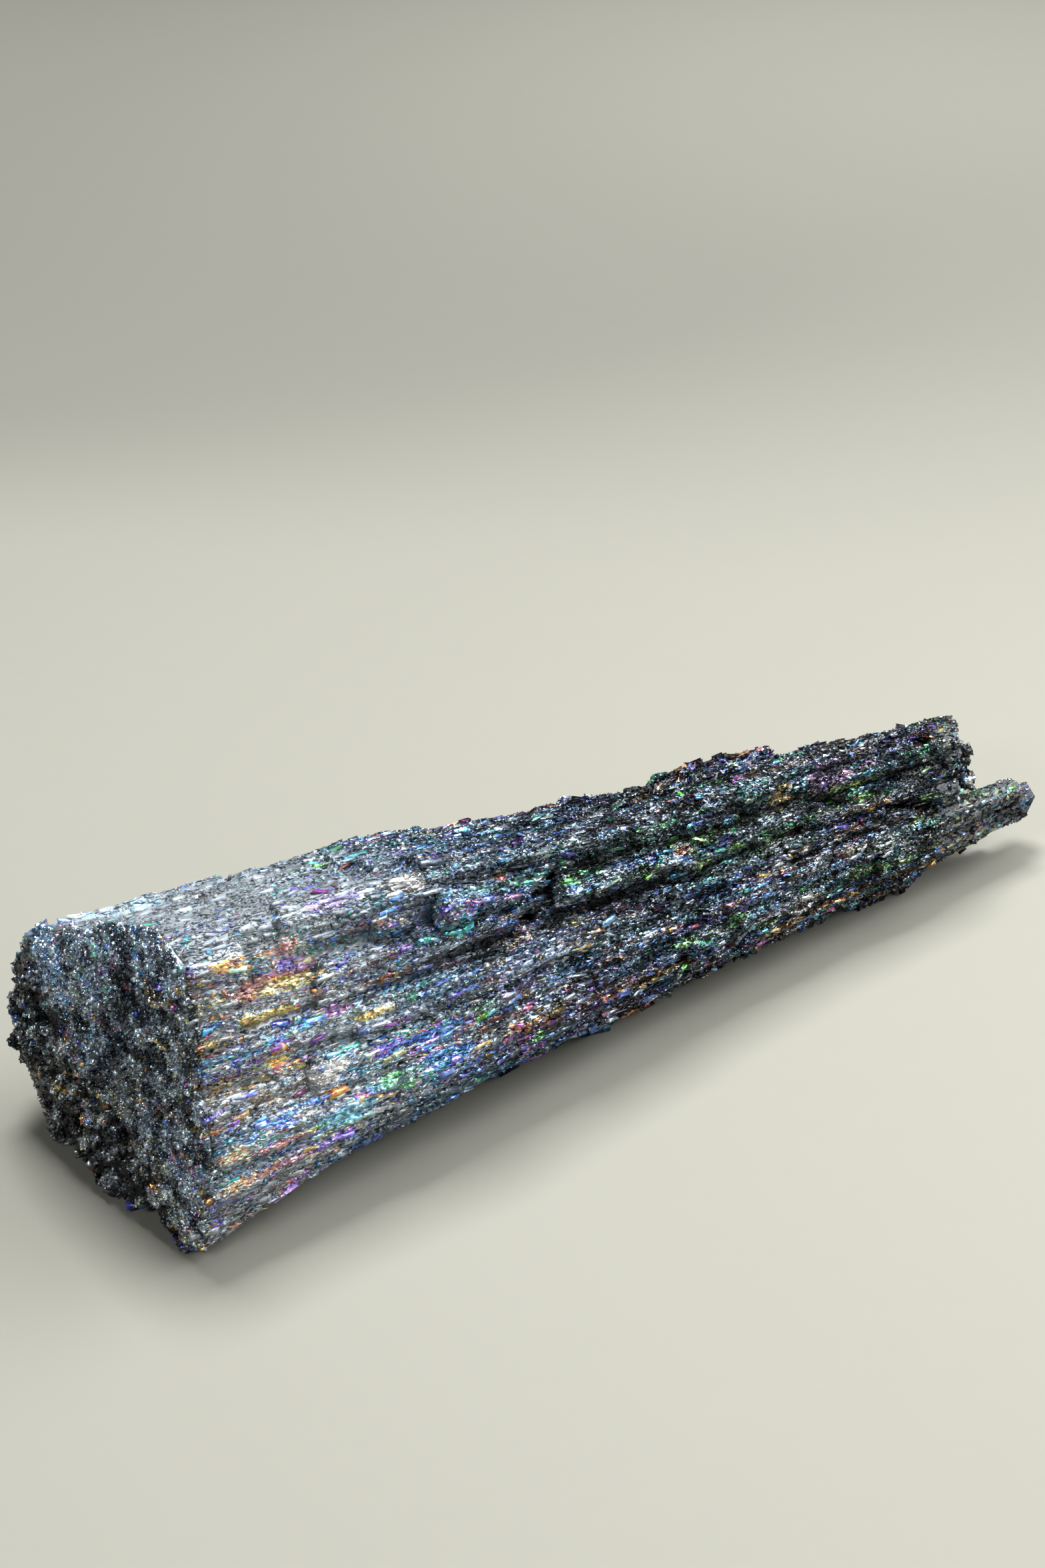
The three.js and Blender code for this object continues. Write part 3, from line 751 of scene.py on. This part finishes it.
def plates(spots, chance, longest, widest):
    """Larger low roofs along the columns, each with its ridge off the middle, in the surface."""
    count = len(spots)
    shape = np.repeat(PLATE[0][None], count, axis=0)
    shape[:, 4:, 1] = chance.uniform(-0.8, 0.8, (count, 1))
    shape[:, 4, 0] = -chance.uniform(0.55, 1.0, count)
    shape[:, 5, 0] = chance.uniform(0.55, 1.0, count)
    crest = chance.uniform(0.1, 0.38, count)
    shape[:, :4, 2] = -0.3
    shape[:, 4:, 2] = crest[:, None]
    size = np.column_stack(
        [
            longest * chance.triangular(0.12, 0.22, 0.5, count) * (0.2 + 0.8 * how_level(spots)),
            widest * chance.triangular(0.18, 0.3, 0.5, count),
            np.ones(count),
        ]
    )
    axes = lie_along(spots, chance, 4, 4, 16)
    return crystals(spots, chance, shape, PLATE[1], axes, size, 0.6)


def loose_bits(spots, chance, smallest, largest, kind, share):
    """Grains or chips turned any way, half sunk in the surface. Few are large: the size goes with the
    cube of chance."""
    count = len(spots)
    size = smallest + (largest - smallest) * chance.random((count, 1)) ** 3
    size = size * chance.uniform(0.7, 1.3, (count, 3))
    shape = np.repeat(kind[0][None], count, axis=0)
    return crystals(spots, chance, shape, kind[1], any_way(count, chance), size, share)


# ---- Meshes ----


def bare_mesh(name, places, corners):
    """A mesh of triangles, none below the surface that the piece rests on."""
    places = (places + FACE_PLACE) * MM
    places[:, 2] = np.maximum(places[:, 2], FOOT * MM)
    mesh = bpy.data.meshes.new(name)
    mesh.vertices.add(len(places))
    mesh.vertices.foreach_set("co", places.astype(np.float32).ravel())
    mesh.loops.add(corners.size)
    mesh.loops.foreach_set("vertex_index", corners.astype(np.int32).ravel())
    mesh.polygons.add(len(corners))
    mesh.polygons.foreach_set("loop_start", np.arange(0, corners.size, 3, dtype=np.int32))
    return mesh


def write_faces(mesh, **fields):
    """Writes each field's values on the mesh's faces, under the field's name."""
    for name, values in fields.items():
        layer = mesh.attributes.new(name, "FLOAT", "FACE")
        layer.data.foreach_set("value", values.astype(np.float32))


SKIN_LIGHT = 0.85  # how bright a skin is by the crystals on it
FOOT = 0.04  # how far above the table the crust's lowest corners are

# The two halves of a map's cell, as the corners of a triangle in each.
LOWER_HALF = [[0.08, 0.08], [0.86, 0.08], [0.08, 0.86]]
UPPER_HALF = [[0.92, 0.92], [0.14, 0.92], [0.92, 0.14]]


def cell_map(mesh, face_counts):
    """A map for baking: the crystals stand in a square grid of cells, and the triangles of each fill
    one half or the other of its cell, by turns. The counts are each crystal's, in triangles."""
    side = math.ceil(math.sqrt(len(face_counts)))
    index = np.repeat(np.arange(len(face_counts)), face_counts)
    place_in = np.arange(len(index)) - np.repeat(np.cumsum(face_counts) - face_counts, face_counts)
    shape = np.array([LOWER_HALF, UPPER_HALF])[place_in % 2]
    cell = np.column_stack([index % side, index // side])
    layer = mesh.uv_layers.new(name="OFBake", do_init=False)
    layer.uv.foreach_set("vector", ((cell[:, None] + shape) / side).astype(np.float32).ravel())


def joined_mesh(name, kinds):
    """One mesh of all the crystals of several kinds, with what the finish reads on their faces."""
    places, corners, done = [], [], 0
    for kind in kinds:
        count, size = kind.corners.shape[:2]
        places.append(kind.corners.reshape(-1, 3))
        first = done + np.arange(count)[:, None, None] * size
        corners.append((first + kind.faces[None]).reshape(-1, 3))
        done += count * size
    mesh = bare_mesh(name, np.concatenate(places), np.concatenate(corners))
    face_counts = np.concatenate([np.full(len(kind.film), len(kind.faces)) for kind in kinds])
    for field in ("film", "vivid", "glint", "powder"):
        values = np.concatenate([getattr(kind, field) for kind in kinds])
        write_faces(mesh, **{field: np.repeat(values, face_counts)})
    cell_map(mesh, face_counts)
    mesh.update(calc_edges=True)
    return mesh


def skin_mesh(name, chance, places, corners, openness, share):
    """A skin's mesh, each of its triangles coated and lit as a crystal is."""
    mesh = bare_mesh(name, places, corners)
    a, b, c = (places[corners[:, i]] for i in range(3))
    # Triangles that close the skin inside take the painted shade of openness 0.6
    seen = np.where(openness < 0, 0.6, openness)
    faces = spots_at((a + b + c) / 3, unit(np.cross(b - a, c - a)), seen)
    film, vivid, painted_sheen = coats(faces, chance, share)
    glint = brightness(faces, chance, painted_sheen) * SKIN_LIGHT
    write_faces(mesh, film=film, vivid=vivid, glint=glint, powder=powder_at(faces), open=openness)
    cell_map(mesh, np.full(len(corners) // 2, 2))
    mesh.update(calc_edges=True)
    return mesh


def add_piece(name, mesh, material):
    """Puts a mesh in the scene as one piece that goes with the solid."""
    mesh.materials.append(material)
    piece = bpy.data.objects.new(name, mesh)
    bpy.context.scene.collection.objects.link(piece)
    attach(piece, "root")
    return piece


# ---- Shader maths ----


class Wire:
    """An output of a shader node that takes part in Python sums: each sum adds a Math node."""

    def __init__(self, finish, socket):
        self.finish, self.socket = finish, socket

    def maths(self, operation, *others):
        inputs = dict(enumerate((self, *others)))
        return self.finish.node("ShaderNodeMath", {"operation": operation}, inputs)

    def __add__(self, other):
        return self.maths("ADD", other)

    def __sub__(self, other):
        return self.maths("SUBTRACT", other)

    def __rsub__(self, other):
        return self.finish.node("ShaderNodeMath", {"operation": "SUBTRACT"}, {0: other, 1: self})

    def __mul__(self, other):
        return self.maths("MULTIPLY", other)

    def __gt__(self, other):
        return self.maths("GREATER_THAN", other)

    __radd__ = __add__
    __rmul__ = __mul__


class Finish:
    """A material made of nodes. `node` adds any one node: its type, its settings and its inputs by
    number or name, each a value or the Wire to link, and gives the outputs that are named."""

    def __init__(self, name):
        self.material = bpy.data.materials.new(name)
        self.material.use_nodes = True
        self.tree = self.material.node_tree
        self.tree.nodes.clear()

    def node(self, kind, settings=None, inputs=None, outputs=(0,)):
        made = self.tree.nodes.new(kind)
        for name, value in (settings or {}).items():
            setattr(made, name, value)
        for key, value in (inputs or {}).items():
            if isinstance(value, Wire):
                self.tree.links.new(value.socket, made.inputs[key])
            else:
                made.inputs[key].default_value = value
        wires = [Wire(self, made.outputs[name]) for name in outputs]
        return wires[0] if len(wires) == 1 else wires

    def attribute(self, name):
        return self.node("ShaderNodeAttribute", {"attribute_name": name}, outputs=("Fac",))

    def mix(self, share, first, second):
        return self.node("ShaderNodeMix", {"data_type": "RGBA"}, {0: share, 6: first, 7: second}, (2,))

    def vector(self, operation, *inputs):
        inputs = dict(enumerate(inputs))
        return self.node("ShaderNodeVectorMath", {"operation": operation}, inputs)

    def ramp(self, value, low, high, start, end):
        """Start below low and end above high, with a smooth step between."""
        ends = {"From Min": low, "From Max": high, "To Min": start, "To Max": end}
        ways = {"interpolation_type": "SMOOTHSTEP"}
        return self.node("ShaderNodeMapRange", ways, {"Value": value, **ends})

    def scale(self, vector, share):
        return self.node("ShaderNodeVectorMath", {"operation": "SCALE"}, {0: vector, "Scale": share})

    def cells(self, places, scale):
        """The chance colour of the cell that each place lies in, and its three parts."""
        inputs = {"Vector": places, "Scale": scale}
        colour = self.node("ShaderNodeTexVoronoi", None, inputs, ("Color",))
        return colour, *self.node("ShaderNodeSeparateColor", None, {0: colour}, (0, 1, 2))

    def tilted(self, chance_colour, tilt):
        """The surface's normal with the chance colour less a half, times the tilt, added to it."""
        normal = self.node("ShaderNodeNewGeometry", outputs=("Normal",))
        lean = self.scale(self.vector("SUBTRACT", chance_colour, (0.5, 0.5, 0.5)), tilt)
        return self.vector("NORMALIZE", self.vector("ADD", normal, lean))

    def surface(self, **inputs):
        """The one surface shader, with the values that are the same all over set on it."""
        inputs = {name.replace("_", " "): value for name, value in inputs.items()}
        shader = self.node("ShaderNodeBsdfPrincipled", None, inputs)
        self.node("ShaderNodeOutputMaterial", None, {"Surface": shader}, ())
        return self.material


# Wavelengths of red, green and blue light, and the film's index, for its interference colours.
WAVELENGTHS = (650.0, 540.0, 450.0)
FILM_INDEX = 1.46


def film_colour(finish, film):
    """The colour that a film reflects: (0.54 + 0.46 cos(4 pi n d / wavelength))^1.6 for each of red,
    green and blue, where d is the film's thickness and n its index."""
    waves = [(film * (4 * math.pi * FILM_INDEX / length)).maths("COSINE") for length in WAVELENGTHS]
    parts = [(wave * 0.46 + 0.54).maths("POWER", 1.6) for wave in waves]
    return finish.node("ShaderNodeCombineColor", None, dict(enumerate(parts)))


def long_places(finish):
    """Object coordinates with x shortened, so that cells and clouds come out long along the piece."""
    places = finish.node("ShaderNodeTexCoord", outputs=("Object",))
    return finish.vector("MULTIPLY", places, (0.55, 1, 1))


def crust_finish(settings):
    """Crystal faces under a thin film: a grey mirror, tinted by the film where it is vivid, broken
    into small faces that lean by chance, with the tone and painted light and shade of each face, and
    painted glints as each small cell is made lighter or darker by chance."""
    finish = Finish("iridescent_crust")
    colour, light, shift, dull = finish.cells(long_places(finish), 3600.0)
    film = finish.attribute("film") + (shift - 0.5) * 24
    powder = finish.attribute("powder")
    # Painted glints: each small cell lighter or darker by chance, less so under powder
    painted_sparkle = (light * light * 1.3 - 0.43) * (1 - powder * 0.9) + 0.88
    glint = finish.attribute("glint") * painted_sparkle * settings.brightness
    vivid = finish.attribute("vivid") * (1 - dull * dull * 0.4) * settings.vividness
    tint = finish.mix(vivid, (*settings.grey, 1), finish.scale(film_colour(finish, film), 1.3))
    return finish.surface(
        Base_Color=finish.scale(tint, glint),
        Metallic=0.88,
        Specular_IOR_Level=0.3,
        Roughness=powder * 0.4 + settings.roughness,
        Normal=finish.tilted(colour, (1 - powder * 0.9) * 0.55),
    )


def core_finish(settings):
    """The solid between the small crystals, in the same grains but darker: the film drifts in clouds
    along the piece and shows in one grain out of five."""
    finish = Finish("dark_core")
    places = long_places(finish)
    colour, light, shift, dyed = finish.cells(places, 2600.0)
    cloud = finish.node("ShaderNodeTexNoise", None, {"Vector": places, "Scale": 260.0, "Detail": 3.0})
    filmed = film_colour(finish, cloud * 300 + shift * 60)
    tint = finish.mix((dyed > 0.8) * 0.8, (*settings.core, 1), filmed)
    return finish.surface(
        Base_Color=finish.scale(tint, light * light * cloud * 0.9 + 0.04),
        Metallic=0.7,
        Roughness=0.38,
        Normal=finish.tilted(colour, 0.9),
    )


# ---- What a user would change ----


def length_setting(name, about, default, low, high):
    about += ", in millimetres"
    return FloatProperty(name=name, description=about, default=default, min=low, max=high)


def share_setting(name, about, default):
    return FloatProperty(
        name=name, description=about, default=default, min=0, max=1, subtype="FACTOR"
    )


def power_setting(name, about, default):
    about += ", in watts"
    return FloatProperty(name=name, description=about, default=default, min=0, unit="POWER")


def colour_setting(name, about, default):
    return FloatVectorProperty(
        name=name, description=about, default=default, size=3, min=0, max=1, subtype="COLOR"
    )


class CrustSettings(bpy.types.PropertyGroup):
    """Sizes and colours of the crust."""

    sliver_length: length_setting("Sliver length", "Longest sliver", 2.6, 0.5, 10)
    sliver_width: length_setting("Sliver width", "Widest sliver", 0.75, 0.1, 3)
    plate_length: length_setting("Plate length", "Longest plate on the sides", 5.0, 0.5, 12)
    plate_width: length_setting("Plate width", "Widest plate on the sides", 1.7, 0.1, 4)
    chip_size: length_setting("Chip size", "Largest chip, from its middle to a corner", 0.36, 0.05, 1)
    grain_size: length_setting("Grain size", "Largest grain of the broad end", 0.75, 0.05, 2)
    roughness: share_setting("Roughness", "Roughness of a crystal face", 0.3)
    brightness: FloatProperty(
        name="Brightness", description="How bright the crystals are", default=1.0, min=0, max=2
    )
    vividness: share_setting("Vividness", "How strongly the film colours the crystals", 0.95)
    grey: colour_setting("Crystal grey", "Colour of a crystal with no film", (0.86, 0.92, 0.945))
    core: colour_setting("Core", "Colour of the solid between the crystals", (0.5, 0.52, 0.58))


class StudioSettings(bpy.types.PropertyGroup):
    """The floor, the lights and the camera."""

    paper: colour_setting("Paper", "Colour of the sheet below the piece", (0.162, 0.1605, 0.137))
    lamp_power: power_setting("Lamp power", "Power of the lamp overhead", 17.4)
    fill_power: power_setting("Fill power", "Power of the lamp at the side", 6.8)
    glint_power: power_setting("Glint power", "Power of the small far lamp", 1.8)
    sky: FloatProperty(
        name="Sky", description="Strength of the even light from all round", default=0.1, min=0
    )


# ---- Operators ----


@dataclass
class Side:
    """One side's crust: its turns from the heart, in degrees, and how many crystals of each kind."""

    name: str
    low: float
    high: float
    slivers: int
    plates: int
    chips: int

    def holds(self, spots):
        return (spots.turn - self.low) % 360 < self.high - self.low


SIDES = (
    Side("crust_front_upper", 116, 182, 24000, 1500, 9000),
    Side("crust_front_lower", 182, 248, 22000, 1300, 8000),
    Side("crust_top", 32, 116, 27000, 1700, 10000),
    Side("crust_back", -42, 32, 17000, 1000, 6000),
    Side("crust_underside", -112, -42, 10000, 500, 2500),
)
SOLID_SPOTS = 900000  # places drawn on the whole solid, to measure it
SLEEVE_SPOTS = 560000  # places drawn on the sleeve, for the sides' crystals
FACE_SPOTS = 60000  # places drawn on the broad end's skin
# How many crystals the ends have: grains and chips on the broad end, slivers and chips beside its
# rough rim, and slivers, plates, chips and lumps on the narrow end.
BROAD_COUNTS = 6000, 11000
RIM_COUNTS = 2300, 1200
NARROW_COUNTS = 8500, 1200, 6000, 500


# The skins: the name, the maker and the share of dyed faces of each.
SKINS = (("crust_sleeve", sleeve, 0.34), ("crust_broad_face", broad_face, 0.12))


def take(spots, name, *counts):
    """The first spots of each count, one after the other."""
    parts = np.cumsum([0, *counts])
    if len(spots) < parts[-1]:
        raise RuntimeError(f"{name}: only {len(spots)} places for its crystals")
    return [spots.pick(slice(*parts[i : i + 2])) for i in range(len(counts))]


class CRYSTAL_OT_core(bpy.types.Operator):
    """Gives the solid between the small crystals its dark finish"""

    bl_idname = "crystal.core"
    bl_label = "Finish the core"

    def execute(self, context):
        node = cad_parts[NODE]
        node.data.materials.clear()
        node.data.materials.append(core_finish(context.scene.crystal_crust))
        return {"FINISHED"}


class CRYSTAL_OT_skins(bpy.types.Operator):
    """Covers the solid's sides and its broad end with rough skins of ridges, grooves and pits"""

    bl_idname = "crystal.skins"
    bl_label = "Grow the skins"

    def execute(self, context):
        chance = np.random.default_rng(SEED)
        material = crust_finish(context.scene.crystal_crust)
        for name, skin, share in SKINS:
            add_piece(name, skin_mesh(name, chance, *skin(chance), share), material)
        return {"FINISHED"}


class CRYSTAL_OT_sides(bpy.types.Operator):
    """Covers the sleeve with slivers, plates and chips"""

    bl_idname = "crystal.sides"
    bl_label = "Grow the crust of the sides"

    def execute(self, context):
        settings = context.scene.crystal_crust
        chance = np.random.default_rng(SEED + 1)
        spots = scatter_on_skin("crust_sleeve", chance, SLEEVE_SPOTS)
        x = spots.at[:, 0]
        dense = (0.08 + spots.open) * (0.5 + 0.5 * smooth_step(15, 90, x)) + 0.25 * (x < 1.2)
        spots = spots.pick((chance.random(len(spots)) < dense) & (spots.at[:, 2] > 0.1))
        material = bpy.data.materials["iridescent_crust"]
        for side in SIDES:
            here = spots.pick(side.holds(spots))
            long_ones, flat_ones, bits = take(here, side.name, side.slivers, side.plates, side.chips)
            kinds = [
                slivers(long_ones, chance, settings.sliver_length, settings.sliver_width),
                plates(flat_ones, chance, settings.plate_length, settings.plate_width),
                loose_bits(bits, chance, 0.1, settings.chip_size, CHIP, 0.35),
            ]
            add_piece(side.name, joined_mesh(side.name, kinds), material)
        return {"FINISHED"}


class CRYSTAL_OT_ends(bpy.types.Operator):
    """Covers the broad end with grains and chips, and the narrow end with crystals of every kind"""

    bl_idname = "crystal.ends"
    bl_label = "Grow the crust of the ends"

    def execute(self, context):
        settings = context.scene.crystal_crust
        chance = np.random.default_rng(SEED + 2)
        material = bpy.data.materials["iridescent_crust"]

        broad = scatter_on_skin("crust_broad_face", chance, FACE_SPOTS)
        broad = broad.pick((chance.random(len(broad)) < 0.02 + broad.open) & (broad.at[:, 2] > 0.1))
        coarse, fine = take(broad, "crust_broad_end", *BROAD_COUNTS)
        behind = scatter_behind_rim(chance)
        rim_long, rim_bits = take(behind, "crust_broad_end", *RIM_COUNTS)
        kinds = [
            loose_bits(coarse, chance, 0.18, settings.grain_size, GRAIN, 0.15),
            loose_bits(fine, chance, 0.1, settings.chip_size, CHIP, 0.2),
            slivers(rim_long, chance, settings.sliver_length, settings.sliver_width),
            loose_bits(rim_bits, chance, 0.2, settings.grain_size, CHIP, 0.2),
        ]
        add_piece("crust_broad_end", joined_mesh("crust_broad_end", kinds), material)

        narrow = scatter_on_solid(chance)
        narrow = narrow.pick((narrow.at[:, 0] >= SLEEVE_TO - 1) & (narrow.at[:, 2] > 0.25))
        long_ones, flat_ones, bits, lumps = take(narrow, "crust_narrow_end", *NARROW_COUNTS)
        kinds = [
            slivers(long_ones, chance, settings.sliver_length, settings.sliver_width),
            plates(flat_ones, chance, settings.plate_length * 0.7, settings.plate_width * 0.8),
            loose_bits(bits, chance, 0.1, settings.chip_size, CHIP, 0.35),
            loose_bits(lumps, chance, 0.6, 1.8, GRAIN, 0.2),
        ]
        for _, middle, spread, count in HEAPS:
            at = np.array(middle) + chance.normal(0, 0.5, (count, 3)).clip(-1, 1) * spread
            heap = spots_at(at, any_way(count, chance)[0], np.ones(count))
            kinds.append(loose_bits(heap, chance, 0.9, 1.8, GRAIN, 0.2))
        add_piece("crust_narrow_end", joined_mesh("crust_narrow_end", kinds), material)
        return {"FINISHED"}


# The camera: where it stands, in the wedge's millimetres, the way it looks in degrees, and its lens.
CAMERA_PLACE = np.array([-222.24, -330.37, 304.08])
CAMERA_TURN, CAMERA_TILT = -40.78, 30.0
LENS, SENSOR = 50.0, 22.3
# Each lamp's place, what it looks at and its side, in metres, and the setting that holds its power.
LAMPS = (
    ("overhead", (0.0, 0.15, 0.9), (0, 0, 0), 0.3, "lamp_power"),
    ("side", (0.227, -0.196, 0.35), (0, 0, 0), 0.6, "fill_power"),
    ("far side", (-0.55, -0.2, 0.45), (-0.08, 0, 0.02), 0.12, "glint_power"),
)


def sheet_mesh(half):
    """A flat square sheet of paper, its sides twice the half long."""
    corners = [(-half, -half, 0), (half, -half, 0), (half, half, 0), (-half, half, 0)]
    mesh = bpy.data.meshes.new("paper_sheet")
    mesh.from_pydata(corners, [], [(0, 1, 2, 3)])
    return mesh


def paper_finish(settings):
    """Matt paper with a fine mottle, and light and shade painted in: painted shade just behind the
    piece, and painted light further off, the more so to the right, as seen from the camera."""
    finish = Finish("paper")
    fibre = finish.node("ShaderNodeTexNoise", None, {"Scale": 900.0, "Detail": 3.0})
    pale = tuple(part * 1.02 for part in settings.paper)
    colour = finish.mix(fibre, (*settings.paper, 1), (*pale, 1))
    places = finish.node("ShaderNodeTexCoord", outputs=("Object",))
    right, away = finish.node("ShaderNodeSeparateXYZ", None, {0: places}, (0, 1))
    aside = finish.ramp(right, -0.14, 0.13, 0.0, 1.0)
    # Painted shade just behind the piece, deeper to the left, and painted light further off, more to
    # the right
    behind = finish.ramp((away - 0.16) * (1.56 - aside * 1.08), -0.02, 0.1, 1.0, 0.75)
    beyond = finish.ramp(away, 0.24, 0.5, 0.0, 1.0) * (aside * 0.47 + 0.33) + 1
    return finish.surface(Base_Color=finish.scale(colour, behind * beyond), Roughness=0.9)


def add_lamp(name, place, target, side, power):
    """A square lamp at a place that looks at another."""
    lamp = bpy.data.lights.new(name, "AREA")
    lamp.shape = "RECTANGLE"
    lamp.size = lamp.size_y = side
    lamp.energy = power
    made = bpy.data.objects.new(name, lamp)
    bpy.context.scene.collection.objects.link(made)
    made.location = place
    made.rotation_euler = (Vector(target) - Vector(place)).to_track_quat("-Z", "Y").to_euler()


class CRYSTAL_OT_studio(bpy.types.Operator):
    """Sets the sheet of paper, the lamps and the camera round the piece"""

    bl_idname = "crystal.studio"
    bl_label = "Set the studio"

    def execute(self, context):
        settings = context.scene.crystal_studio
        scene = context.scene
        camera = bpy.data.cameras.new("camera")
        camera.lens, camera.sensor_width, camera.sensor_fit = LENS, SENSOR, "AUTO"
        camera.clip_start, camera.clip_end = 0.01, 20.0
        view = bpy.data.objects.new("camera", camera)
        scene.collection.objects.link(view)
        view.location = (CAMERA_PLACE + FACE_PLACE) * MM
        view.rotation_euler = (math.radians(90 - CAMERA_TILT), 0, math.radians(CAMERA_TURN))
        scene.camera = view

        paper = bpy.data.objects.new("paper_sheet", sheet_mesh(3.0))
        scene.collection.objects.link(paper)
        paper.rotation_euler[2] = math.radians(CAMERA_TURN)
        paper.data.materials.append(paper_finish(settings))

        world = bpy.data.worlds.new("even_light")
        world.use_nodes = True
        even = world.node_tree.nodes["Background"].inputs
        even["Color"].default_value = (0.95, 0.97, 1.0, 1)
        even["Strength"].default_value = settings.sky
        scene.world = world
        for name, place, target, side, power in LAMPS:
            add_lamp(name, place, target, side, getattr(settings, power))
        scene.view_settings.view_transform = "Standard"
        return {"FINISHED"}


class CRYSTAL_PT_panel(bpy.types.Panel):
    """Lists the steps and the settings in the sidebar"""

    bl_idname = "CRYSTAL_PT_panel"
    bl_label = "Silicon carbide crystal"
    bl_space_type = "VIEW_3D"
    bl_region_type = "UI"
    bl_category = "Crystal"

    def draw(self, context):
        for step in STEPS:
            self.layout.operator(step.bl_idname)
        for settings in (context.scene.crystal_crust, context.scene.crystal_studio):
            for name in settings.__annotations__:
                self.layout.prop(settings, name)


STEPS = (CRYSTAL_OT_core, CRYSTAL_OT_skins, CRYSTAL_OT_sides, CRYSTAL_OT_ends, CRYSTAL_OT_studio)
CLASSES = (CrustSettings, StudioSettings, *STEPS, CRYSTAL_PT_panel)


def register():
    for cls in CLASSES:
        bpy.utils.register_class(cls)
    bpy.types.Scene.crystal_crust = PointerProperty(type=CrustSettings)
    bpy.types.Scene.crystal_studio = PointerProperty(type=StudioSettings)


def unregister():
    del bpy.types.Scene.crystal_studio
    del bpy.types.Scene.crystal_crust
    for cls in reversed(CLASSES):
        bpy.utils.unregister_class(cls)


def main():
    register()
    bpy.ops.crystal.core()
    bpy.ops.crystal.skins()
    bpy.ops.crystal.sides()
    bpy.ops.crystal.ends()
    bpy.ops.crystal.studio()


if __name__ == "__main__":
    main()
